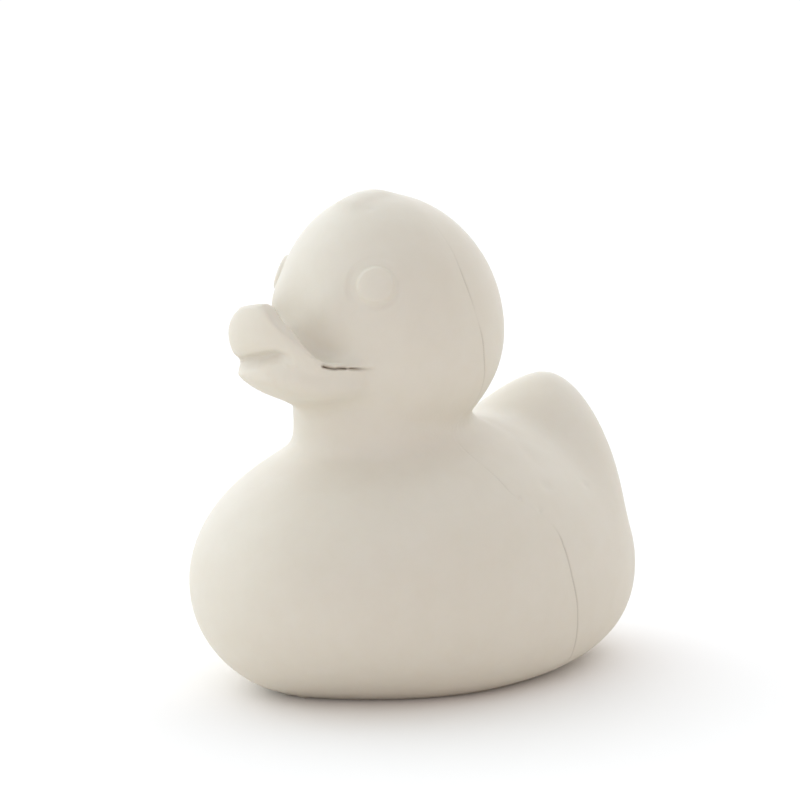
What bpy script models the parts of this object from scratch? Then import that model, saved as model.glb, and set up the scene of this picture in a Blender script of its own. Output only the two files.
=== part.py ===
# A plain bath duck of natural rubber, cast in one piece and standing on a flat underside.
# The bill points to -Y, the duck's left side is +X, up is +Z and the floor is z = 0.
# Sizes are in metres. Heights are measured from the floor, reaches from the middle of the base.

from math import cos, hypot, pi, radians, sin, sqrt

import bmesh
import bpy
from mathutils import Matrix, Vector

# Body
BODY_WIDTH = 0.0610
BREAST_REACH = 0.0425
STERN_REACH = 0.0430
STERN_DROP = 0.0056  # how far the back is lowered at the stern
BODY_WIDEST_HEIGHT = 0.0180
BODY_TOP_HEIGHT = 0.0442
BODY_FOOT_DEPTH = 0.0207  # from the widest height to where the belly would close below the floor
BODY_PLAN_FULLNESS = 2.15
BODY_BACK_FULLNESS = 2.0
RUMP_BACK_FULLNESS = 2.7  # the same towards the tail
BODY_BELLY_FULLNESS = 2.85
BOW_TAPER = 0.85  # how much the belly narrows towards the breast at the floor

# Tail, a broad cone that leans back as it rises
TAIL_HEIGHT = 0.0500
TAIL_ROOT_HEIGHT = 0.0140
TAIL_ROOT_WIDTH = 0.0570
TAIL_ROOT_THICKNESS = 0.0412
TAIL_ROOT_DEPTH = 0.0070
TAIL_ROOT_REACH = 0.0160
TAIL_TIP_REACH = 0.0305
TAIL_FULLNESS = 1.48

# Head and neck
HEAD_WIDTH = 0.0388
HEAD_LENGTH = 0.0404
HEAD_FORWARD = 0.0062
HEAD_WIDEST_HEIGHT = 0.0592
HEAD_TOP_HEIGHT = 0.0830
HEAD_CHIN_HEIGHT = 0.0400
HEAD_CROWN_FULLNESS = 1.98
HEAD_CROWN_LEAN = 0.0016
NECK_WIDTH = 0.0270
NECK_LENGTH = 0.0296
NECK_FORWARD = 0.0087

# Upper bill, whose brim turns up and thickens towards the tip
BILL_REACH = 0.0366
BILL_ROOT_REACH = 0.0190
BILL_WIDTH = 0.0272
BILL_CORNER_HEIGHT = 0.0562
BILL_TIP_HEIGHT = 0.0621
BILL_CORNER_THICKNESS = 0.0020
BILL_TIP_THICKNESS = 0.0160
BILL_PLAN_FULLNESS = 2.2
BILL_EDGE_FULLNESS = 2.8
BILL_CLIMB_START = 0.50  # where the brim starts to turn up, as a share of the way to the tip
BILL_CLIMB_END = 0.95
BILL_DISH_HEIGHT = 0.0574
BILL_DISH_EDGE = 0.58  # where the hollow starts to rise to the rim, as a share of the way out to it
BILL_DISH_RIM = 0.96

# Bridge, a rounded swell from the forehead and cheeks to the hollow of the bill
BRIDGE_REACH = 0.0308
BRIDGE_WIDTH = 0.0190
BRIDGE_HEIGHT = 0.0646
BRIDGE_THICKNESS = 0.0180

# Lower bill, a smaller spoon tucked under the upper one
JAW_REACH = 0.0355
JAW_WIDTH = 0.0246
JAW_CORNER_HEIGHT = 0.0532
JAW_TIP_HEIGHT = 0.0543
JAW_CORNER_THICKNESS = 0.0086
JAW_EDGE_FULLNESS = 2.2
JAW_TIP_THICKNESS = 0.0058

# Mouth line between the two
MOUTH_WIDTH = 0.0009
MOUTH_CORNER_HEIGHT = 0.0554
MOUTH_TIP_HEIGHT = 0.0572
MOUTH_INSET = 0.0003
MOUTH_TAPER = 0.5
MOUTH_TAPER_LATENESS = 3
MOUTH_SWING = radians(93)

# Eyes, each a low disc in a ring-shaped groove
EYE_SPREAD = 0.0127
EYE_HEIGHT = 0.0697
EYE_DIAMETER = 0.0064
EYE_STAND = 0.0003
EYE_ROOT_DEPTH = 0.0016
EYE_FULLNESS = 2.6
EYE_GROOVE_WIDTH = 0.0013
EYE_GROOVE_DEPTH = 0.0005

# Tuft, a row of low curls along the front of the crown
TUFT_CURLS = 3
TUFT_REACH = 0.0150
TUFT_SPACING = 0.0029
TUFT_WIDTH = 0.0060
TUFT_CURL_LENGTH = 0.0034
TUFT_STAND = 0.00045

# Fineness of the surface
SPHERE_SEGMENTS = 64
SPHERE_RINGS = 40
MASS_VOXEL = 0.0009
MASS_SMOOTHING = 14
FORM_VOXEL = 0.0007
FORM_SMOOTHING = 8
DETAIL_VOXEL = 0.0005
DETAIL_SMOOTHING = 2
BODY_TRIANGLES = 4500
FACE_TRIANGLES = 6600
FACE_REACH = 0.0070
FLOOR_SNAP = 0.00010
MERGE_DISTANCE = 0.000001
SHARP_ANGLE = radians(36)
LINE_STEPS = 40
CORD_ROUNDNESS = 3
RING_SIDES = 8
RING_STEPS = 28

# Colour of the bare rubber
RUBBER_COLOUR = (0.80, 0.76, 0.68, 1.0)
RUBBER_ROUGHNESS = 0.62


def clear_scene():
    for thing in list(bpy.data.objects):
        bpy.data.objects.remove(thing, do_unlink=True)


def rubber():
    material = bpy.data.materials.new("rubber")
    material.use_nodes = True
    shader = material.node_tree.nodes["Principled BSDF"]
    shader.inputs["Base Color"].default_value = RUBBER_COLOUR
    shader.inputs["Roughness"].default_value = RUBBER_ROUGHNESS
    shader.inputs["Metallic"].default_value = 0.0
    return material


def closing(level, fullness):
    # How wide a rounded form still is at a level from 0, its widest, to 1, its pole.
    return max(0.0, 1.0 - abs(level) ** fullness) ** (1.0 / fullness)


def egg(side, front, rear, up, down, plan=2.0, above=2.0, below=2.0, above_rear=None):
    # A closed rounded form about the origin, with its own reach in each direction.
    form = bmesh.new()
    bmesh.ops.create_uvsphere(form, u_segments=SPHERE_SEGMENTS, v_segments=SPHERE_RINGS, radius=1.0)
    for vert in form.verts:
        x, y, z = vert.co
        spread = closing(z, above if z > 0.0 else below)
        flat = hypot(x, y)
        if flat > MERGE_DISTANCE:
            x, y = x / flat, y / flat
            if z > 0.0 and y > 0.0:
                spread += (closing(z, above_rear or above) - spread) * y ** 2
            edge = (abs(x) ** plan + abs(y) ** plan) ** (-1.0 / plan)
            x, y = x * edge * spread, y * edge * spread
        vert.co = (x * side, y * (front if y < 0.0 else rear), z * (up if z > 0.0 else down))
    return form


def place(form, offset):
    bmesh.ops.translate(form, verts=form.verts, vec=offset)
    return form


def body():
    form = egg(BODY_WIDTH / 2, BREAST_REACH, STERN_REACH, BODY_TOP_HEIGHT - BODY_WIDEST_HEIGHT, BODY_FOOT_DEPTH,
               BODY_PLAN_FULLNESS, BODY_BACK_FULLNESS, BODY_BELLY_FULLNESS, RUMP_BACK_FULLNESS)
    for vert in form.verts:
        if vert.co.z > 0.0:
            vert.co.z -= STERN_DROP * max(0.0, vert.co.y / STERN_REACH) ** 2
        else:
            forward = max(0.0, -vert.co.y / BREAST_REACH)
            vert.co.x *= max(0.0, 1.0 - BOW_TAPER * (forward * vert.co.z / BODY_WIDEST_HEIGHT) ** 2)
    return place(form, (0.0, 0.0, BODY_WIDEST_HEIGHT))


def tail():
    rise = TAIL_HEIGHT - TAIL_ROOT_HEIGHT
    form = egg(TAIL_ROOT_WIDTH / 2, TAIL_ROOT_THICKNESS / 2, TAIL_ROOT_THICKNESS / 2, rise, TAIL_ROOT_DEPTH,
               above=TAIL_FULLNESS)
    for vert in form.verts:
        lean = max(0.0, vert.co.z / rise)
        vert.co.y += TAIL_ROOT_REACH + (TAIL_TIP_REACH - TAIL_ROOT_REACH) * lean
    return place(form, (0.0, 0.0, TAIL_ROOT_HEIGHT))


def head():
    form = egg(HEAD_WIDTH / 2, HEAD_LENGTH / 2, HEAD_LENGTH / 2, HEAD_TOP_HEIGHT - HEAD_WIDEST_HEIGHT,
               HEAD_WIDEST_HEIGHT - HEAD_CHIN_HEIGHT, above=HEAD_CROWN_FULLNESS)
    for vert in form.verts:
        vert.co.y -= HEAD_CROWN_LEAN * max(0.0, vert.co.z / (HEAD_TOP_HEIGHT - HEAD_WIDEST_HEIGHT)) ** 2
    return place(form, (0.0, -HEAD_FORWARD, HEAD_WIDEST_HEIGHT))


def neck():
    form = bmesh.new()
    stretch = Matrix.Diagonal((NECK_WIDTH, NECK_LENGTH, HEAD_WIDEST_HEIGHT - BODY_WIDEST_HEIGHT, 1.0))
    bmesh.ops.create_cone(form, segments=SPHERE_SEGMENTS, radius1=0.5, radius2=0.5, depth=1.0, cap_ends=True,
                          matrix=stretch)
    return place(form, (0.0, -NECK_FORWARD, (HEAD_WIDEST_HEIGHT + BODY_WIDEST_HEIGHT) / 2))


def ease(value, start, end):
    # Rises smoothly from 0 at the start to 1 at the end.
    share = min(1.0, max(0.0, (value - start) / (end - start)))
    return share * share * (3.0 - 2.0 * share)


def climb(along, corner, tip):
    # A bill size on its way from the mouth's corners to the tip.
    return corner + (tip - corner) * ease(along, BILL_CLIMB_START, BILL_CLIMB_END)


def spoon(reach, width, corner_height, tip_height, corner_thickness, tip_thickness, fullness):
    # A rounded bill half that climbs and thickens from the mouth's corners to its tip.
    length = reach - BILL_ROOT_REACH
    form = egg(width / 2, length, length / 2, 0.5, 0.5, BILL_PLAN_FULLNESS, fullness, fullness)
    for vert in form.verts:
        along = -vert.co.y / length
        vert.co.z = (vert.co.z * climb(along, corner_thickness, tip_thickness)
                     + climb(along, corner_height, tip_height))
    return place(form, (0.0, -BILL_ROOT_REACH, 0.0))


def upper_bill():
    # Its top is dished, which leaves the rim standing as a brim.
    form = spoon(BILL_REACH, BILL_WIDTH, BILL_CORNER_HEIGHT, BILL_TIP_HEIGHT, BILL_CORNER_THICKNESS,
                 BILL_TIP_THICKNESS, BILL_EDGE_FULLNESS)
    for vert in form.verts:
        along = -(vert.co.y + BILL_ROOT_REACH) / (BILL_REACH - BILL_ROOT_REACH)
        out = hypot(2 * vert.co.x / BILL_WIDTH, along)
        above = vert.co.z - BILL_DISH_HEIGHT
        if above > 0.0 and vert.co.z > climb(along, BILL_CORNER_HEIGHT, BILL_TIP_HEIGHT):
            vert.co.z -= above * (1.0 - ease(out, BILL_DISH_EDGE, BILL_DISH_RIM))
    return form


def lower_bill():
    return spoon(JAW_REACH, JAW_WIDTH, JAW_CORNER_HEIGHT, JAW_TIP_HEIGHT, JAW_CORNER_THICKNESS,
                 JAW_TIP_THICKNESS, JAW_EDGE_FULLNESS)


def bridge():
    form = egg(BRIDGE_WIDTH / 2, BRIDGE_REACH - BILL_ROOT_REACH, BILL_ROOT_REACH / 2, BRIDGE_THICKNESS / 2,
               BRIDGE_THICKNESS / 2)
    return place(form, (0.0, -BILL_ROOT_REACH, BRIDGE_HEIGHT - BRIDGE_THICKNESS / 2))


def mouth_line():
    # Points round the bill between its two halves, from one corner of the mouth to the other.
    points = []
    for step in range(LINE_STEPS + 1):
        swing = MOUTH_SWING * (2 * step / LINE_STEPS - 1)
        x, y = sin(swing), cos(swing)
        edge = (abs(x) ** BILL_PLAN_FULLNESS + abs(y) ** BILL_PLAN_FULLNESS) ** (-1 / BILL_PLAN_FULLNESS)
        points.append(Vector(((BILL_WIDTH / 2 - MOUTH_INSET) * x * edge,
                              -BILL_ROOT_REACH - (BILL_REACH - BILL_ROOT_REACH - MOUTH_INSET) * y * edge,
                              climb(y * edge, MOUTH_CORNER_HEIGHT, MOUTH_TIP_HEIGHT))))
    return points


def cord(points, width, taper):
    # A round tube along a line of points, with its ends closed and thinned by a share of its width.
    path = bpy.data.curves.new("cord", "CURVE")
    path.dimensions = "3D"
    path.bevel_depth = width / 2
    path.bevel_resolution = CORD_ROUNDNESS
    path.use_fill_caps = True
    spline = path.splines.new("POLY")
    spline.points.add(len(points) - 1)
    for step, point in enumerate(points):
        off_middle = abs(2 * step / (len(points) - 1) - 1)
        spline.points[step].co = (*point, 1.0)
        spline.points[step].radius = 1.0 - taper * off_middle ** MOUTH_TAPER_LATENESS
    holder = bpy.data.objects.new("cord", path)
    bpy.context.scene.collection.objects.link(holder)
    bpy.context.view_layer.update()
    form = bmesh.new()
    form.from_mesh(holder.to_mesh())
    bpy.data.objects.remove(holder)
    bmesh.ops.remove_doubles(form, verts=form.verts, dist=MERGE_DISTANCE)
    bmesh.ops.recalc_face_normals(form, faces=form.faces)
    return form


def mouth():
    return cord(mouth_line(), MOUTH_WIDTH, MOUTH_TAPER)


def head_point(x, z):
    # The point on the front of the head at a sideways place and a height, and the way it faces.
    rise = HEAD_TOP_HEIGHT - HEAD_WIDEST_HEIGHT
    level = (z - HEAD_WIDEST_HEIGHT) / rise
    spread = closing(level, HEAD_CROWN_FULLNESS)
    forward = HEAD_LENGTH / 2 * sqrt(max(0.0, spread ** 2 - (2 * x / HEAD_WIDTH) ** 2))
    facing = Vector((x / (HEAD_WIDTH / 2) ** 2, -forward / (HEAD_LENGTH / 2) ** 2, level / rise)).normalized()
    return Vector((x, -HEAD_FORWARD - HEAD_CROWN_LEAN * level ** 2 - forward, z)), facing


def turned(form, point, facing):
    # Stands a form modelled about +Z on a point of the surface.
    lie = facing.to_track_quat("Z", "Y").to_matrix().to_4x4()
    bmesh.ops.transform(form, verts=form.verts, matrix=Matrix.Translation(point) @ lie)
    return form


def ring(diameter, width, depth):
    # A rounded ring about +Z, spun from one turn of its section.
    form = bmesh.new()
    centre = diameter / 2
    turn = [form.verts.new((centre + width / 2 * cos(2 * pi * k / RING_SIDES), 0.0,
                            depth * sin(2 * pi * k / RING_SIDES))) for k in range(RING_SIDES)]
    section = [form.edges.new((turn[k - 1], turn[k])) for k in range(RING_SIDES)]
    bmesh.ops.spin(form, geom=turn + section, cent=(0, 0, 0), axis=(0, 0, 1), angle=2 * pi, steps=RING_STEPS,
                   use_merge=True)
    bmesh.ops.remove_doubles(form, verts=form.verts, dist=MERGE_DISTANCE)
    bmesh.ops.recalc_face_normals(form, faces=form.faces)
    return form


def eye_groove(side):
    point, facing = head_point(side * EYE_SPREAD, EYE_HEIGHT)
    return turned(ring(EYE_DIAMETER + EYE_GROOVE_WIDTH, EYE_GROOVE_WIDTH, EYE_GROOVE_DEPTH), point, facing)


def eye(side):
    point, facing = head_point(side * EYE_SPREAD, EYE_HEIGHT)
    radius = EYE_DIAMETER / 2
    form = egg(radius, radius, radius, EYE_STAND, EYE_ROOT_DEPTH, above=EYE_FULLNESS)
    return turned(form, point, facing)


def crown_point(y):
    # The point on the midline of the crown at a place along Y, and the way it faces.
    rise = HEAD_TOP_HEIGHT - HEAD_WIDEST_HEIGHT
    slope = (y + HEAD_FORWARD + HEAD_CROWN_LEAN) / (HEAD_LENGTH / 2)
    level = closing(slope, HEAD_CROWN_FULLNESS)
    facing = Vector((0.0, slope / (HEAD_LENGTH / 2), level / rise)).normalized()
    return Vector((0.0, y, HEAD_WIDEST_HEIGHT + rise * level)), facing


def curl(number):
    point, facing = crown_point(-TUFT_REACH + TUFT_SPACING * number)
    form = egg(TUFT_WIDTH / 2, TUFT_CURL_LENGTH / 2, TUFT_CURL_LENGTH / 2, TUFT_STAND, TUFT_CURL_LENGTH / 2)
    return turned(form, point, facing)


def tuft():
    return [curl(number) for number in range(TUFT_CURLS)]


def joined(name, forms):
    whole = bmesh.new()
    for form in forms:
        piece = bpy.data.meshes.new(name)
        form.to_mesh(piece)
        form.free()
        whole.from_mesh(piece)
        bpy.data.meshes.remove(piece)
    mesh = bpy.data.meshes.new(name)
    whole.to_mesh(mesh)
    whole.free()
    thing = bpy.data.objects.new(name, mesh)
    bpy.context.scene.collection.objects.link(thing)
    return thing


def settle(thing):
    # Turns an object's modifiers into its mesh.
    bpy.context.view_layer.update()
    worked = thing.evaluated_get(bpy.context.evaluated_depsgraph_get())
    mesh = bpy.data.meshes.new_from_object(worked)
    thing.modifiers.clear()
    thing.data = mesh
    return thing


def fuse(thing, voxel, rounds):
    # Runs overlapping closed forms into one skin and softens the creases between them.
    skin = thing.modifiers.new("skin", "REMESH")
    skin.mode = "VOXEL"
    skin.voxel_size = voxel
    soften = thing.modifiers.new("soften", "SMOOTH")
    soften.factor = 0.5
    soften.iterations = int(rounds)
    return settle(thing)


def cut_flat(thing):
    # Cuts the underside level with the floor.
    form = bmesh.new()
    form.from_mesh(thing.data)
    everything = form.verts[:] + form.edges[:] + form.faces[:]
    sliced = bmesh.ops.bisect_plane(form, geom=everything, dist=MERGE_DISTANCE, plane_co=(0, 0, 0),
                                    plane_no=(0, 0, -1), clear_outer=True)
    rim = [part for part in sliced["geom_cut"] if isinstance(part, bmesh.types.BMEdge)]
    bmesh.ops.contextual_create(form, geom=rim)
    form.to_mesh(thing.data)
    form.free()
    return thing


def on_face(point):
    return point.z > BODY_TOP_HEIGHT and point.y < -FACE_REACH


def on_body(point):
    return not on_face(point)


def thin_out(thing, region, triangles):
    # Thins one region of the surface to a number of triangles, most of them where it bends.
    inside = [vert.index for vert in thing.data.vertices if region(vert.co)]
    picked = set(inside)
    thing.vertex_groups.clear()
    thing.vertex_groups.new(name="region").add(inside, 1.0, "REPLACE")
    present = 0
    kept = triangles
    for polygon in thing.data.polygons:
        corners = len(polygon.vertices) - 2
        present += corners
        if not picked.issuperset(polygon.vertices):
            kept += corners
    thin = thing.modifiers.new("thin", "DECIMATE")
    thin.ratio = min(1.0, kept / present)
    thin.vertex_group = "region"
    settle(thing)
    thing.vertex_groups.clear()
    return thing


def level_foot(thing):
    # Puts the points round the underside back on the floor.
    for vert in thing.data.vertices:
        if abs(vert.co.z) < FLOOR_SNAP:
            vert.co.z = 0.0
    return thing


def cut(thing, forms):
    # Cuts closed forms, which stay clear of each other, out of a solid.
    tool = joined("tool", forms)
    step = thing.modifiers.new("cut", "BOOLEAN")
    step.operation = "DIFFERENCE"
    step.solver = "EXACT"
    step.object = tool
    settle(thing)
    bpy.data.objects.remove(tool)
    return thing


def form_of(thing):
    form = bmesh.new()
    form.from_mesh(thing.data)
    bpy.data.objects.remove(thing)
    return form


def duck():
    masses = joined("masses", [body(), tail(), head(), neck()])
    fuse(masses, MASS_VOXEL, MASS_SMOOTHING)
    plain = joined("plain", [form_of(masses), upper_bill(), lower_bill(), bridge()])
    fuse(plain, FORM_VOXEL, FORM_SMOOTHING)
    cut(plain, [mouth(), eye_groove(1), eye_groove(-1)])
    whole = joined("duck", [form_of(plain), eye(1), eye(-1)] + tuft())
    fuse(whole, DETAIL_VOXEL, DETAIL_SMOOTHING)
    cut_flat(whole)
    thin_out(whole, on_body, BODY_TRIANGLES)
    thin_out(whole, on_face, FACE_TRIANGLES)
    level_foot(whole)
    whole.data.materials.append(rubber())
    whole.data.shade_smooth()
    whole.data.set_sharp_from_angle(angle=SHARP_ANGLE)
    return whole


clear_scene()
duck()
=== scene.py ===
from math import cos, exp, radians, sin

import bmesh
import bpy
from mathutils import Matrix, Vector, noise
from mathutils.bvhtree import BVHTree
from mathutils.kdtree import KDTree


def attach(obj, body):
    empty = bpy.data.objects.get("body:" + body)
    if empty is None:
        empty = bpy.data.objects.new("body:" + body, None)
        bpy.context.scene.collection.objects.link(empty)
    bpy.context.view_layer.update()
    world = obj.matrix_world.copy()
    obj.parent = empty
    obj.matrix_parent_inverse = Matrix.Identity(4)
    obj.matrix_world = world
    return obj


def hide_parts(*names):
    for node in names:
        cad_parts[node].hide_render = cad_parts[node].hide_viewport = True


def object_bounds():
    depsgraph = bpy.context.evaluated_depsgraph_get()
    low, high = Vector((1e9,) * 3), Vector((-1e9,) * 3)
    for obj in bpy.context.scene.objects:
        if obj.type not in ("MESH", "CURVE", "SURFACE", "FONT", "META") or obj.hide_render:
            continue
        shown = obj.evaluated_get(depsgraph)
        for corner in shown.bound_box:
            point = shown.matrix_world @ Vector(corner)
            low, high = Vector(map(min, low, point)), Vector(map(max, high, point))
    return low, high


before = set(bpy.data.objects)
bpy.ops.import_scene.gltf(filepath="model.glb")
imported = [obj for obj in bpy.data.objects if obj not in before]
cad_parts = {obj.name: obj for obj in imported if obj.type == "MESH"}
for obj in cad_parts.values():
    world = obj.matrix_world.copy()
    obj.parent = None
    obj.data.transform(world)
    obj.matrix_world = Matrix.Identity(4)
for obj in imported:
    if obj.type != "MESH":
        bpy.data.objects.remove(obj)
cadLow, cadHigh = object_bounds()
scene = bpy.context.scene
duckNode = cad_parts["duck"]
print("frame loaded, box", [round(1000 * side, 1) for side in cadHigh - cadLow], "mm")


class Wire:  # the output of one node, so that masks can be added and multiplied in plain sums
    def __init__(self, tree, socket):
        self.tree = tree
        self.socket = socket

    def sum(self, operation, *values):
        node = self.tree.nodes.new("ShaderNodeMath")
        node.operation = operation
        for place, value in enumerate(values):
            plug(self.tree, node.inputs[place], value)
        return Wire(self.tree, node.outputs[0])

    def __add__(self, other):
        return self.sum("ADD", self, other)

    def __radd__(self, other):
        return self.sum("ADD", other, self)

    def __sub__(self, other):
        return self.sum("SUBTRACT", self, other)

    def __rsub__(self, other):
        return self.sum("SUBTRACT", other, self)

    def __mul__(self, other):
        return self.sum("MULTIPLY", self, other)

    def __rmul__(self, other):
        return self.sum("MULTIPLY", other, self)


def plug(tree, socket, value):
    if isinstance(value, Wire):
        tree.links.new(value.socket, socket)
    else:
        socket.default_value = value


class Nodes:  # the node tree of one material or of the world
    def __init__(self, owner):
        owner.use_nodes = True
        self.tree = owner.node_tree

    def add(self, kind, settings, sockets, output=0):
        node = self.tree.nodes.new("ShaderNode" + kind)
        for name, value in settings.items():
            if name == "stops":
                for spot, (place, grey) in zip(node.color_ramp.elements, value):
                    spot.position = place
                    spot.color = (grey, grey, grey, 1)
            else:
                setattr(node, name, value)
        for name, value in sockets.items():
            plug(self.tree, node.inputs[name], value)
        return Wire(self.tree, node.outputs[output])

    def set(self, node, sockets):
        for name, value in sockets.items():
            plug(self.tree, self.tree.nodes[node].inputs[name], value)

    def noise(self, where, scale, detail=3.0, roughness=0.5):
        return self.add("TexNoise", {}, {"Vector": where, "Scale": scale, "Detail": detail,
                                         "Roughness": roughness})

    def blendColours(self, amount, first, second):
        return self.add("Mix", {"data_type": "RGBA"}, {0: amount, 6: first, 7: second}, output=2)


# bare natural rubber: slightly cloudy, with a fine matt skin; painted shade darkens the seams, the mouth slit
# and the hollows of the bill
rubber = {
    "pale": (0.706, 0.654, 0.558, 1), "deep": (0.676, 0.616, 0.510, 1), "paintedShade": (0.215, 0.155, 0.100, 1),
    "cloudScale": 34.0, "mottleScale": 260.0, "grainScale": 1900.0,
    "cloudShare": 0.6, "tintStops": [(0.30, 0.0), (0.72, 1.0)],
    "roughness": 0.54, "roughnessSwing": 0.12, "roughMottle": 0.6, "specular": 0.36,
    "bump": 0.09, "bumpDepth": 0.00035, "bumpMottle": 0.35,
    "subsurface": 0.12, "subsurfaceDepth": 0.0022, "subsurfaceRadius": (1.0, 0.62, 0.36),
}


def rubberMaterial():
    material = bpy.data.materials.new("naturalRubber")
    nodes = Nodes(material)
    where = nodes.add("TexCoord", {}, {}, output=3)
    clouds = nodes.noise(where, rubber["cloudScale"], 2.0)
    mottle = nodes.noise(where, rubber["mottleScale"], 4.0, 0.6)
    grain = nodes.noise(where, rubber["grainScale"], 3.0, 0.6)
    tint = nodes.add("ValToRGB", {"stops": rubber["tintStops"]},
                     {"Fac": rubber["cloudShare"] * clouds + (1 - rubber["cloudShare"]) * mottle})
    bareColour = nodes.blendColours(tint, rubber["pale"], rubber["deep"])
    # painted shade: a share per point that blends the base colour towards a dark brown
    paintedShadeShare = nodes.add("Attribute", {"attribute_name": "paintedShade"}, {}, output=2)
    colour = nodes.blendColours(paintedShadeShare, bareColour, rubber["paintedShade"])
    uneven = rubber["roughMottle"] * mottle + (1 - rubber["roughMottle"]) * grain
    rough = rubber["roughness"] + rubber["roughnessSwing"] * (uneven - 0.5)
    height = rubber["bumpMottle"] * mottle + (1 - rubber["bumpMottle"]) * grain
    bump = nodes.add("Bump", {}, {"Strength": rubber["bump"], "Distance": rubber["bumpDepth"],
                                  "Height": height})
    nodes.set("Principled BSDF", {
        "Base Color": colour, "Roughness": rough, "Normal": bump,
        "Subsurface Weight": rubber["subsurface"], "Subsurface Scale": rubber["subsurfaceDepth"],
        "Subsurface Radius": rubber["subsurfaceRadius"], "Specular IOR Level": rubber["specular"],
    })
    return material


def mergedCopy(node):
    form = bmesh.new()
    form.from_mesh(node.data)
    bmesh.ops.remove_doubles(form, verts=form.verts, dist=0.00001)
    return form


def makePiece(name, form):
    mesh = bpy.data.meshes.new(name)
    form.to_mesh(mesh)
    form.free()
    piece = bpy.data.objects.new(name, mesh)
    scene.collection.objects.link(piece)
    return piece


def evenSkin(form, voxel):
    # an even grid of quads over the solid, so that fine relief can be pushed into it
    piece = makePiece("evenSkin", form)
    grid = piece.modifiers.new("grid", "REMESH")
    grid.mode = "VOXEL"
    grid.voxel_size = voxel
    seen = piece.evaluated_get(bpy.context.evaluated_depsgraph_get())
    form = bmesh.new()
    form.from_mesh(seen.to_mesh())
    bpy.data.objects.remove(piece)
    return form


def soften(form, verts, rounds, factor=0.5):
    for turn in range(rounds):
        bmesh.ops.smooth_vert(form, verts=verts, factor=factor, use_axis_x=True, use_axis_y=True,
                              use_axis_z=True)


def refine(form, near):
    # splits the quads of one area in four
    edges = [edge for edge in form.edges if near(edge.verts[0].co) and near(edge.verts[1].co)]
    bmesh.ops.subdivide_edges(form, edges=edges, cuts=1, use_grid_fill=True)
    bmesh.ops.triangulate(form, faces=[face for face in form.faces if len(face.verts) > 4])


def pointTree(points):
    tree = KDTree(len(points))
    for number, point in enumerate(points):
        tree.insert(point, number)
    tree.balance()
    return tree


def bell(distance, width):
    return exp(-(distance / width) ** 2)


def ease(value, low, high):
    share = min(1.0, max(0.0, (value - low) / (high - low)))
    return share * share * (3 - 2 * share)


def evened(points, rounds):
    for turn in range(rounds):
        middle = [(a + b + b + c) / 4 for a, b, c in zip(points, points[1:], points[2:])]
        points = [points[0]] + middle + [points[-1]]
    return points


# the parting line that the two halves of the mould left: a fine groove with a faint lip ahead of it
seam = {
    # height and reach in millimetres, and how plainly it shows, from the crown down to the floor
    "line": [(79.0, -6.2, 0.05), (75.6, -5.3, 0.15), (73.6, -4.8, 0.20), (71.4, -4.6, 0.40),
             (70.3, -4.5, 0.70), (68.4, -4.1, 0.70), (66.0, -3.5, 0.45), (64.0, -3.0, 0.12),
             (62.3, -2.5, 0.15), (60.5, -1.8, 0.55), (58.9, -1.3, 0.95), (55.7, -0.6, 0.90),
             (52.3, 0.8, 0.60), (49.3, 1.3, 0.40), (47.0, 1.6, 0.25), (45.2, -1.4, 0.15),
             (43.6, -3.1, 0.25), (41.2, -2.6, 0.45), (39.8, -2.5, 0.30), (38.4, -1.9, 0.10),
             (36.4, -0.5, 0.45), (34.8, -0.3, 0.35), (33.1, 0.8, 0.06), (31.0, 4.2, 0.05),
             (28.8, 6.2, 0.05), (27.0, 7.2, 0.40), (26.0, 7.5, 0.95), (24.0, 7.9, 1.00),
             (20.0, 8.7, 1.00), (15.5, 10.1, 1.00), (9.6, 11.2, 1.00), (6.0, 12.1, 1.00),
             (3.4, 13.3, 0.80), (0.2, 14.0, 0.60)],
    "foot": 0.0003, "top": 0.0788, "climb": 0.00012, "lookFrom": 0.1, "step": 0.00025, "evening": 30,
    "near": 0.0012, "groove": 0.00013, "grooveWidth": 0.00018,
    "lip": 0.00007, "lipWidth": 0.00030, "lipAhead": 0.00045,
    # painted shade along the groove, and how wide it is
    "paintedShade": 0.50, "paintedShadeWidth": 0.00015,
}


def seamAt(height):
    rows = seam["line"]
    for (high, start, first), (low, end, last) in zip(rows, rows[1:]):
        if height >= low / 1000:
            share = (height - low / 1000) / ((high - low) / 1000)
            return (end + (start - end) * share) / 1000, last + (first - last) * share
    return rows[-1][1] / 1000, rows[-1][2]


def seamPoints(form, side):
    # the line is laid on the skin by looking at it straight from the side
    skin = BVHTree.FromBMesh(form)
    points = []
    height = seam["foot"]
    while height < seam["top"]:
        start = Vector((side * seam["lookFrom"], seamAt(height)[0], height))
        hit = skin.ray_cast(start, Vector((-side, 0, 0)))[0]
        if hit is not None and (not points or (hit - points[-1]).length > seam["step"]):
            points.append(hit)
        height += seam["climb"]
    return evened(points, seam["evening"])


# each eye is a low disc in a shallow socket that is deepest ahead of it and above it
eye = {
    "centre": (0.0128, -0.0192, 0.0690), "reach": 0.0066, "tilt": radians(48), "calmRounds": 60,
    "discRadius": 0.0032, "discStand": 0.00050, "discEdge": 0.00038, "discFade": 0.0006,
    "frontEase": (-0.7, 0.7), "fadeShare": 0.6,
    "footDepth": 0.00026, "footWidth": 0.00055,  # the dip along the back of the disc
    "footReach": 0.004, "footEase": (0.2, 0.8),
    "socketRadius": 0.0048, "socketDepth": 0.00027, "socketEdge": 0.00065,
    "floorEase": (-0.7, 0.8),
    "lidRadius": 0.0042, "lidStand": 0.00012, "lidWidth": 0.0006, "lidReach": 0.004, "lidEase": (0.3, 1.0),
}


def eyeFrame(form, side):
    x, y, z = eye["centre"]
    place, facing = BVHTree.FromBMesh(form).find_nearest(Vector((side * x, y, z)))[:2]
    up = (Vector((0, 0, 1)) - facing * facing.z).normalized()
    return place, facing, up, facing.cross(up) * side


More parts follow.
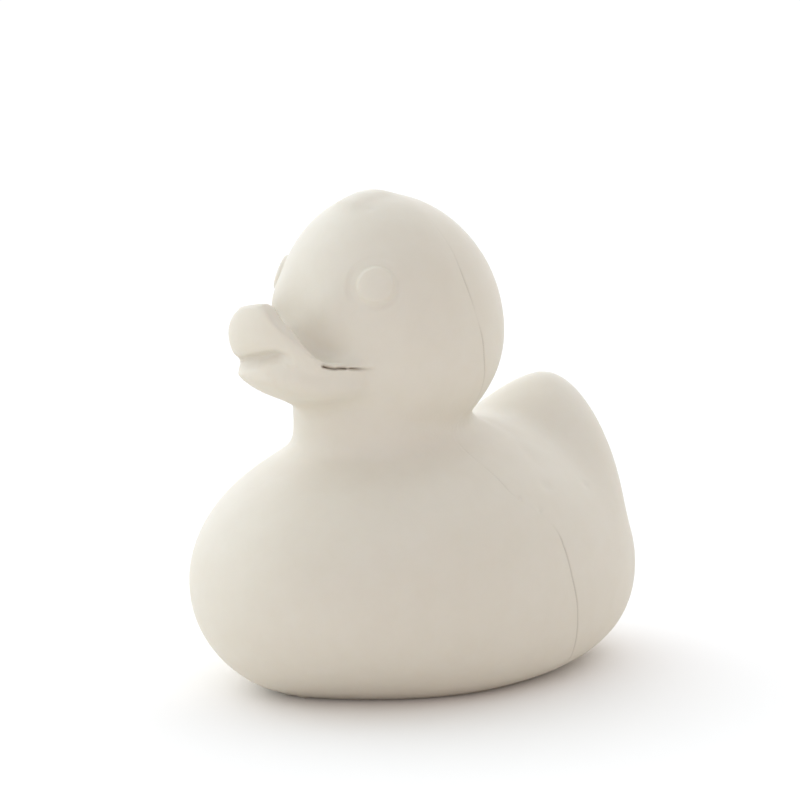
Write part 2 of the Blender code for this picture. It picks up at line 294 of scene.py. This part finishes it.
def eyeRelief(ahead, above):
    radius = (ahead ** 2 + above ** 2) ** 0.5
    along = ahead * cos(eye["tilt"]) + above * sin(eye["tilt"])
    front = ease(along / max(radius, 0.0001), *eye["frontEase"])
    edge = eye["discEdge"] + (eye["discFade"] - eye["discEdge"]) * (1 - front)
    disc = eye["discStand"] * (1 - ease(radius, eye["discRadius"] - edge,
                                        eye["discRadius"] + edge * eye["fadeShare"]))
    floor = eye["socketDepth"] * ease(along / eye["socketRadius"], *eye["floorEase"])
    socket = -floor * (1 - ease(radius, eye["socketRadius"] - eye["socketEdge"],
                                eye["socketRadius"] + eye["socketEdge"]))
    lid = eye["lidStand"] * bell(radius - eye["lidRadius"], eye["lidWidth"])
    lid *= ease(above / eye["lidReach"], *eye["lidEase"])
    foot = eye["footDepth"] * bell(radius - eye["discRadius"], eye["footWidth"])
    foot *= ease(-along / eye["footReach"], *eye["footEase"])
    return disc + socket + lid - foot


def carveEye(form, side):
    place, facing, up, ahead = eyeFrame(form, side)
    near = [vert for vert in form.verts if (vert.co - place).length < eye["reach"]]
    soften(form, near, eye["calmRounds"])
    for vert in near:
        gap = vert.co - place
        vert.co += facing * eyeRelief(gap.dot(ahead), gap.dot(up))


# the upturned brim of the bill: a thick roll in the middle, which thins and drops towards the sides
brim = {
    "back": -0.0255, "low": 0.0520, "middle": (0.0028, 0.0058),
    "thicken": 0.0014, "thickenFrom": (-0.0354, -0.0338), "thickenTo": (-0.0312, -0.0272),
    "thickenHeight": (0.0590, 0.0620),
    "lift": 0.00045, "liftHeight": (0.0615, 0.0645), "liftTo": (-0.0300, -0.0280),
    # the casting stands a little higher on its left side
    "twist": 0.19, "twistFade": (0.0050, 0.0090), "twistHeight": (0.0530, 0.0560),
    "twistTo": (-0.0305, -0.0275),
    # how high the edge is, in millimetres, at each distance from the middle; on the right it drops later
    "edge": [(3.4, 66.4), (4.4, 64.5), (5.5, 62.5), (7.2, 61.4), (8.7, 60.6), (10.2, 59.0), (11.3, 57.9),
             (12.6, 57.3)],
    "rightShare": 0.80, "keep": 0.20, "edgeTo": (-0.0285, -0.0265),
    "rounds": 3, "roundAbove": 0.0575,
}


def edgeHeight(off):
    rows = brim["edge"]
    for (near, high), (far, low) in zip(rows, rows[1:]):
        if near <= off < far:
            return (high + (low - high) * (off - near) / (far - near)) / 1000
    return 1.0 if off < rows[0][0] else rows[-1][1] / 1000


def shapeBrim(form):
    bill = [vert for vert in form.verts if vert.co.y < brim["back"] and vert.co.z > brim["low"]]
    for vert in bill:
        x, y, z = vert.co
        middle = 1 - ease(abs(x), *brim["middle"])
        roll = ease(y, *brim["thickenFrom"]) * (1 - ease(y, *brim["thickenTo"]))
        roll *= ease(z, *brim["thickenHeight"])
        lift = brim["lift"] * middle * ease(z, *brim["liftHeight"]) * (1 - ease(y, *brim["liftTo"]))
        above = max(0.0, z - edgeHeight(1000 * max(x, -x * brim["rightShare"])))
        above *= 1 - ease(y, *brim["edgeTo"])
        twist = brim["twist"] * x * (1 - ease(abs(x), *brim["twistFade"])) * ease(z, *brim["twistHeight"])
        twist *= 1 - ease(y, *brim["twistTo"])
        vert.co = (x, y + brim["thicken"] * middle * roll, z + lift + twist - (1 - brim["keep"]) * above)
    soften(form, [vert for vert in bill if vert.co.z > brim["roundAbove"]], brim["rounds"])


# the mouth is a crisp slit at its corners and only a soft valley round the front of the bill; the slit is
# darkened with painted shade
mouth = {
    "line": [(13.5, -20.0, 55.6), (12.8, -21.7, 55.5), (12.5, -24.5, 55.9), (11.8, -27.0, 56.2),
             (11.0, -29.1, 56.7), (8.7, -31.7, 57.1), (5.8, -33.6, 57.4), (3.0, -34.9, 57.5),
             (0.0, -35.3, 57.5)],
    "steps": 30, "evening": 60, "near": 0.0012, "depth": 0.00090, "width": 0.00026, "paintedShade": 0.90,
    "slitStart": (0.0195, 0.0255), "slitEnd": (0.0284, 0.0291),
    "frontRounds": 4, "frontReach": 0.0302, "frontNear": 0.0014,
}


def mouthPoints(form):
    skin = BVHTree.FromBMesh(form)
    rough = [Vector(row) / 1000 for row in mouth["line"]]
    steps = mouth["steps"]
    half = [start.lerp(end, step / steps) for start, end in zip(rough, rough[1:]) for step in range(steps)]
    whole = half + [Vector((-point.x, point.y, point.z)) for point in reversed(half)]
    return [skin.find_nearest(point)[0] for point in evened(whole, mouth["evening"])]


# soft marks of the casting: where they lie in millimetres, how deep and wide they are, and the painted shade
# in them
castMarks = {
    "creases": [
        # the root of the tail, across the back and down to the flanks
        {"line": [(0.0, 8.5, 43.6), (4.0, 8.8, 43.4), (8.6, 10.6, 42.5), (11.8, 10.9, 41.5),
                  (15.0, 10.0, 40.2), (18.5, 10.0, 38.1), (21.6, 9.3, 35.7)],
         "depth": 0.00014, "width": 0.0014, "bothSides": True},
        # the hollow of the bill behind its brim
        {"line": [(0.0, -27.6, 61.7), (2.2, -27.7, 61.2), (4.2, -27.4, 60.3), (6.8, -26.4, 58.6),
                  (9.4, -25.0, 57.5), (11.2, -23.6, 57.0)],
         "depth": 0.00045, "width": 0.0015, "bothSides": True},
        # the upper end of the hollow, under the forehead, darkened with painted shade
        {"line": [(-10.0, -22.8, 64.2), (-6.5, -24.8, 63.5), (-4.6, -25.5, 63.2), (-2.0, -26.8, 62.4),
                  (0.9, -27.6, 61.6), (3.0, -27.6, 61.0)],
         "depth": 0.00010, "width": 0.0019, "bothSides": False, "paintedShade": 0.16},
        # the thin lip above the slit, which stands out
        {"line": [(9.0, -32.7, 60.3), (10.3, -30.7, 58.5), (11.3, -28.6, 57.5), (12.0, -26.3, 56.8),
                  (12.6, -24.2, 56.4)],
         "depth": -0.00030, "width": 0.0005, "bothSides": True},
        # the soft division round the front of the bill, darkened with painted shade under the brim
        {"line": [(-8.6, -31.2, 55.7), (-5.6, -33.2, 56.0), (-3.0, -34.6, 56.3), (0.0, -35.2, 56.7),
                  (3.9, -35.3, 57.3), (6.0, -34.6, 57.6), (7.4, -33.7, 57.6)],
         "depth": 0.00095, "width": 0.0009, "bothSides": False, "paintedShade": 0.14},
        # small marks on the tail and the crown
        {"line": [(21.2, 19.4, 33.2), (22.0, 19.7, 32.2)],
         "depth": 0.00020, "width": 0.0006, "bothSides": False},
        {"line": [(5.3, -14.9, 80.7), (5.0, -13.7, 80.8)],
         "depth": 0.00016, "width": 0.0005, "bothSides": False},
    ],
    "steps": 20, "evening": 40, "endShare": 0.25, "endEase": 0.25,
    # single marks, each with how far it stands out or goes in, and how wide it is
    "dents": [((23.3, 8.6, 34.2), 0.00024, 0.0013), ((24.7, 1.3, 33.3), 0.00018, 0.0005),
              ((26.2, 4.6, 31.1), 0.00016, 0.0005), ((25.4, -23.6, 22.4), 0.00016, 0.0006),
              ((28.8, 7.9, 25.1), 0.00012, 0.0005)],
    "nubs": [((0.9, -28.5, 0.5), 0.00055, 0.0009), ((4.1, -28.1, 0.3), 0.00045, 0.0007)],
    "cheeks": [((7.0, -25.0, 65.5), 0.00080, 0.0042), ((-7.0, -25.0, 65.5), 0.00080, 0.0042)],
    "unevenness": 0.00009, "unevenScale": 85, "calmHeight": 0.004,
}


def creaseTrees(form):
    skin = BVHTree.FromBMesh(form)
    steps = castMarks["steps"]
    trees = []
    for crease in castMarks["creases"]:
        for side in (1, -1) if crease["bothSides"] else (1,):
            rough = [Vector((side * x, y, z)) / 1000 for x, y, z in crease["line"]]
            points = [start.lerp(end, step / steps) for start, end in zip(rough, rough[1:])
                      for step in range(steps + 1)]
            laid = [skin.find_nearest(point)[0] for point in evened(points, castMarks["evening"])]
            paintedShade = crease.get("paintedShade", 0.0)
            trees.append((pointTree(laid), crease["depth"], crease["width"], paintedShade, len(laid)))
    return trees


def creaseAt(place, trees):
    # how deep the creases are at one place, and how much painted shade lies in them; they fade towards their
    # ends
    endShare = castMarks["endShare"]
    depth = paintedShade = 0.0
    for tree, deepest, width, deepestPaintedShade, count in trees:
        number, gap = tree.find(place)[1:]
        if gap < 3 * width:
            inward = ease(min(number, count - 1 - number) / count, 0.0, castMarks["endEase"])
            share = bell(gap, width) * (endShare + (1 - endShare) * inward)
            depth += deepest * share
            paintedShade += deepestPaintedShade * share
    return depth, paintedShade


# the bare form: an even skin over the solid, calmed where it is broad and kept crisp on the face
duck = {
    "voxel": 0.00069, "bodyRounds": 34, "creaseRounds": 8, "faceRounds": 5,
    "faceHeight": 0.0450, "faceReach": -0.0060, "footHeight": 0.0028, "rimHeight": 0.0010, "footRounds": 24,
    "neckLow": 0.0395, "neckHigh": 0.0475, "neckReach": -0.0087, "neckSpread": 0.0190,
    # how near to the details the skin is split once, and then again
    "splitFace": -0.0190, "splitSeam": 0.0013, "splitEye": 0.0066,
    "fineSeam": 0.0007, "fineMouth": 0.0013, "fineEye": 0.0056,
}


def onFace(point):
    return point.z > duck["faceHeight"] and point.y < duck["faceReach"]


def inCrease(point):
    fromNeck = Vector((point.x, point.y - duck["neckReach"])).length
    return duck["neckLow"] < point.z < duck["neckHigh"] and fromNeck < duck["neckSpread"]


def calm(point):
    return point.z > duck["footHeight"] and not onFace(point) and not inCrease(point)


def duckPiece(material):
    form = evenSkin(mergedCopy(duckNode), duck["voxel"])
    foot = [vert for vert in form.verts if vert.co.z < duck["rimHeight"]]
    rest = [vert for vert in form.verts if vert.co.z >= duck["rimHeight"]]
    soften(form, [vert for vert in rest if calm(vert.co)], duck["bodyRounds"])
    soften(form, [vert for vert in rest if not onFace(vert.co)], duck["creaseRounds"])
    soften(form, rest, duck["faceRounds"])
    for turn in range(duck["footRounds"]):  # the rim of the underside is rounded in plan but stays down
        bmesh.ops.smooth_vert(form, verts=foot, factor=0.5, use_axis_x=True, use_axis_y=True,
                              use_axis_z=False)
    shapeBrim(form)
    print("skin laid,", len(form.verts), "points")

    seamLine = seamPoints(form, 1) + seamPoints(form, -1)
    seamTree = pointTree(seamLine)
    mouthLine = mouthPoints(form)
    mouthTree = pointTree(mouthLine)
    front = [vert for vert in form.verts
             if vert.co.y < -mouth["frontReach"] and mouthTree.find(vert.co)[2] < mouth["frontNear"]]
    soften(form, front, mouth["frontRounds"])
    eyes = [eyeFrame(form, side)[0] for side in (1, -1)]

    def broad(point):
        return ((onFace(point) and point.y < duck["splitFace"]) or seamTree.find(point)[2] < duck["splitSeam"]
                or min((point - place).length for place in eyes) < duck["splitEye"])

    def narrow(point):
        return (seamTree.find(point)[2] < duck["fineSeam"] or mouthTree.find(point)[2] < duck["fineMouth"]
                or min((point - place).length for place in eyes) < duck["fineEye"])

    refine(form, broad)
    refine(form, narrow)
    print("fine areas split,", len(form.verts), "points")

    for side in (1, -1):
        carveEye(form, side)
    creases = creaseTrees(form)
    dents = [(Vector(place) / 1000, -depth, width) for place, depth, width in castMarks["dents"]]
    nubs = [(Vector(place) / 1000, stand, width)
            for place, stand, width in castMarks["nubs"] + castMarks["cheeks"]]
    # the share of painted shade at each point, written below
    paintedShade = form.verts.layers.float.new("paintedShade")
    form.normal_update()
    moves = []
    for vert in form.verts:
        place = vert.co
        push = castMarks["unevenness"] * noise.noise(place * castMarks["unevenScale"])
        push *= ease(place.z, 0.0, castMarks["calmHeight"])
        onSeam, number, offSeam = seamTree.find(place)
        if offSeam < seam["near"]:
            plain = seamAt(onSeam.z)[1]
            lip = bell(offSeam - seam["lipAhead"], seam["lipWidth"]) if place.y < onSeam.y else 0.0
            push += plain * (seam["lip"] * lip - seam["groove"] * bell(offSeam, seam["grooveWidth"]))
            # painted shade along the groove of the parting line
            vert[paintedShade] = plain * seam["paintedShade"] * bell(offSeam, seam["paintedShadeWidth"])
        offMouth = mouthTree.find(place)[2]
        if offMouth < mouth["near"]:
            slit = ease(-place.y, *mouth["slitStart"]) * (1 - ease(-place.y, *mouth["slitEnd"]))
            push -= mouth["depth"] * slit * bell(offMouth, mouth["width"])
            # painted shade inside the slit
            vert[paintedShade] = max(vert[paintedShade], mouth["paintedShade"] * slit * bell(offMouth, mouth["width"]))
        deep, paintedShadeShare = creaseAt(place, creases)
        push -= deep
        # painted shade in the hollows of the bill
        vert[paintedShade] = max(vert[paintedShade], paintedShadeShare)
        for centre, stand, width in dents + nubs:
            gap = (place - centre).length
            if gap < 3 * width:
                push += stand * bell(gap, width)
        moves.append(vert.normal * push)
    for vert, move in zip(form.verts, moves):
        vert.co += move
        vert.co.z = max(vert.co.z, cadLow.z)
    bmesh.ops.recalc_face_normals(form, faces=form.faces)

    piece = makePiece("duckSkin", form)
    piece.data.materials.append(material)
    piece.data.shade_smooth()
    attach(piece, "root")
    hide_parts("duck")
    return piece


material = rubberMaterial()
skin = duckPiece(material)
print("duck finished,", sum(len(face.vertices) - 2 for face in skin.data.polygons), "triangles")


view = {"azimuth": radians(50), "elevation": radians(10), "distance": 0.42, "target": (0, 0, 0.041),
        "lens": 110.0, "shift": (-0.0212, 0.0412)}


def fromCamera(right, toward, up):
    # a place given as steps to the picture's right, towards the camera and up
    swing = view["azimuth"]
    return Vector((right * cos(swing) + toward * sin(swing), right * sin(swing) - toward * cos(swing), up))


def makeCamera():
    camera = bpy.data.objects.new("camera", bpy.data.cameras.new("camera"))
    scene.collection.objects.link(camera)
    back = fromCamera(0, cos(view["elevation"]), sin(view["elevation"]))
    camera.location = Vector(view["target"]) + back * view["distance"]
    camera.rotation_euler = (-back).to_track_quat("-Z", "Y").to_euler()
    camera.data.sensor_width = 36.0
    camera.data.lens = view["lens"]
    camera.data.shift_x, camera.data.shift_y = view["shift"]
    camera.data.clip_start = 0.01
    scene.camera = camera


studio = {
    "radius": 4.0, "floorColour": (0.95, 0.925, 0.895, 1), "backdropGlow": 1.05,
    "fill": (0.10, 0.08, 0.05),
    # soft panels of light: the way to each, as steps to the right, towards the camera and up; its colour
    "panels": [((-1.0, 0.0, 0.25), (0.62, 0.74, 0.82)), ((0.0, 1.0, 0.20), (0.62, 0.60, 0.73)),
               ((0.75, 0.75, 0.20), (0.10, 0.07, 0.02)), ((0.0, 0.0, 1.0), (0.47, 0.55, 0.63)),
               ((-0.7, -0.7, 0.25), (1.04, 1.07, 1.22)), ((0.0, -1.0, 0.25), (0.39, 0.405, 0.42)),
               ((0.7, -0.7, 0.25), (1.08, 1.12, 1.19)), ((-0.7, 0.2, 0.8), (0.12, 0.10, 0.02))],
    "panelEdge": 0.35, "panelCore": 0.95,
}


def makeFloor():
    form = bmesh.new()
    bmesh.ops.create_circle(form, cap_ends=True, segments=96, radius=studio["radius"])
    floor = makePiece("floor", form)
    pale = bpy.data.materials.new("paleFloor")
    nodes = Nodes(pale)
    nodes.set("Principled BSDF", {"Base Color": studio["floorColour"], "Roughness": 0.9,
                                  "Specular IOR Level": 0.0})
    floor.data.materials.append(pale)


def makeBackdrop():
    # a plain white shell behind everything, which is seen but throws no light of its own
    form = bmesh.new()
    bmesh.ops.create_uvsphere(form, u_segments=64, v_segments=32, radius=studio["radius"])
    backdrop = makePiece("backdrop", form)
    white = bpy.data.materials.new("whiteBackdrop")
    nodes = Nodes(white)
    nodes.set("Principled BSDF", {"Base Color": (0, 0, 0, 1), "Specular IOR Level": 0.0,
                                  "Emission Color": (1, 1, 1, 1),
                                  "Emission Strength": studio["backdropGlow"]})
    backdrop.data.materials.append(white)
    for kind in ("diffuse", "glossy", "transmission", "volume_scatter", "shadow"):
        setattr(backdrop, "visible_" + kind, False)


def makeRoom():
    world = bpy.data.worlds.new("room")
    scene.world = world
    nodes = Nodes(world)
    way = nodes.add("TexCoord", {}, {}, output=0)
    light = studio["fill"]
    for direction, colour in studio["panels"]:
        toPanel = nodes.add("VectorMath", {"operation": "DOT_PRODUCT"},
                            {0: way, 1: fromCamera(*direction).normalized()}, output=1)
        share = nodes.add("MapRange", {"interpolation_type": "SMOOTHSTEP"},
                          {"Value": toPanel, "From Min": studio["panelEdge"],
                           "From Max": studio["panelCore"]})
        panel = nodes.add("VectorMath", {"operation": "SCALE"}, {0: colour, "Scale": share})
        light = nodes.add("VectorMath", {"operation": "ADD"}, {0: light, 1: panel})
    nodes.set("Background", {"Color": light, "Strength": 1.0})


makeFloor()
makeBackdrop()
makeCamera()
makeRoom()
scene.view_settings.view_transform = "Standard"
print("studio lit")
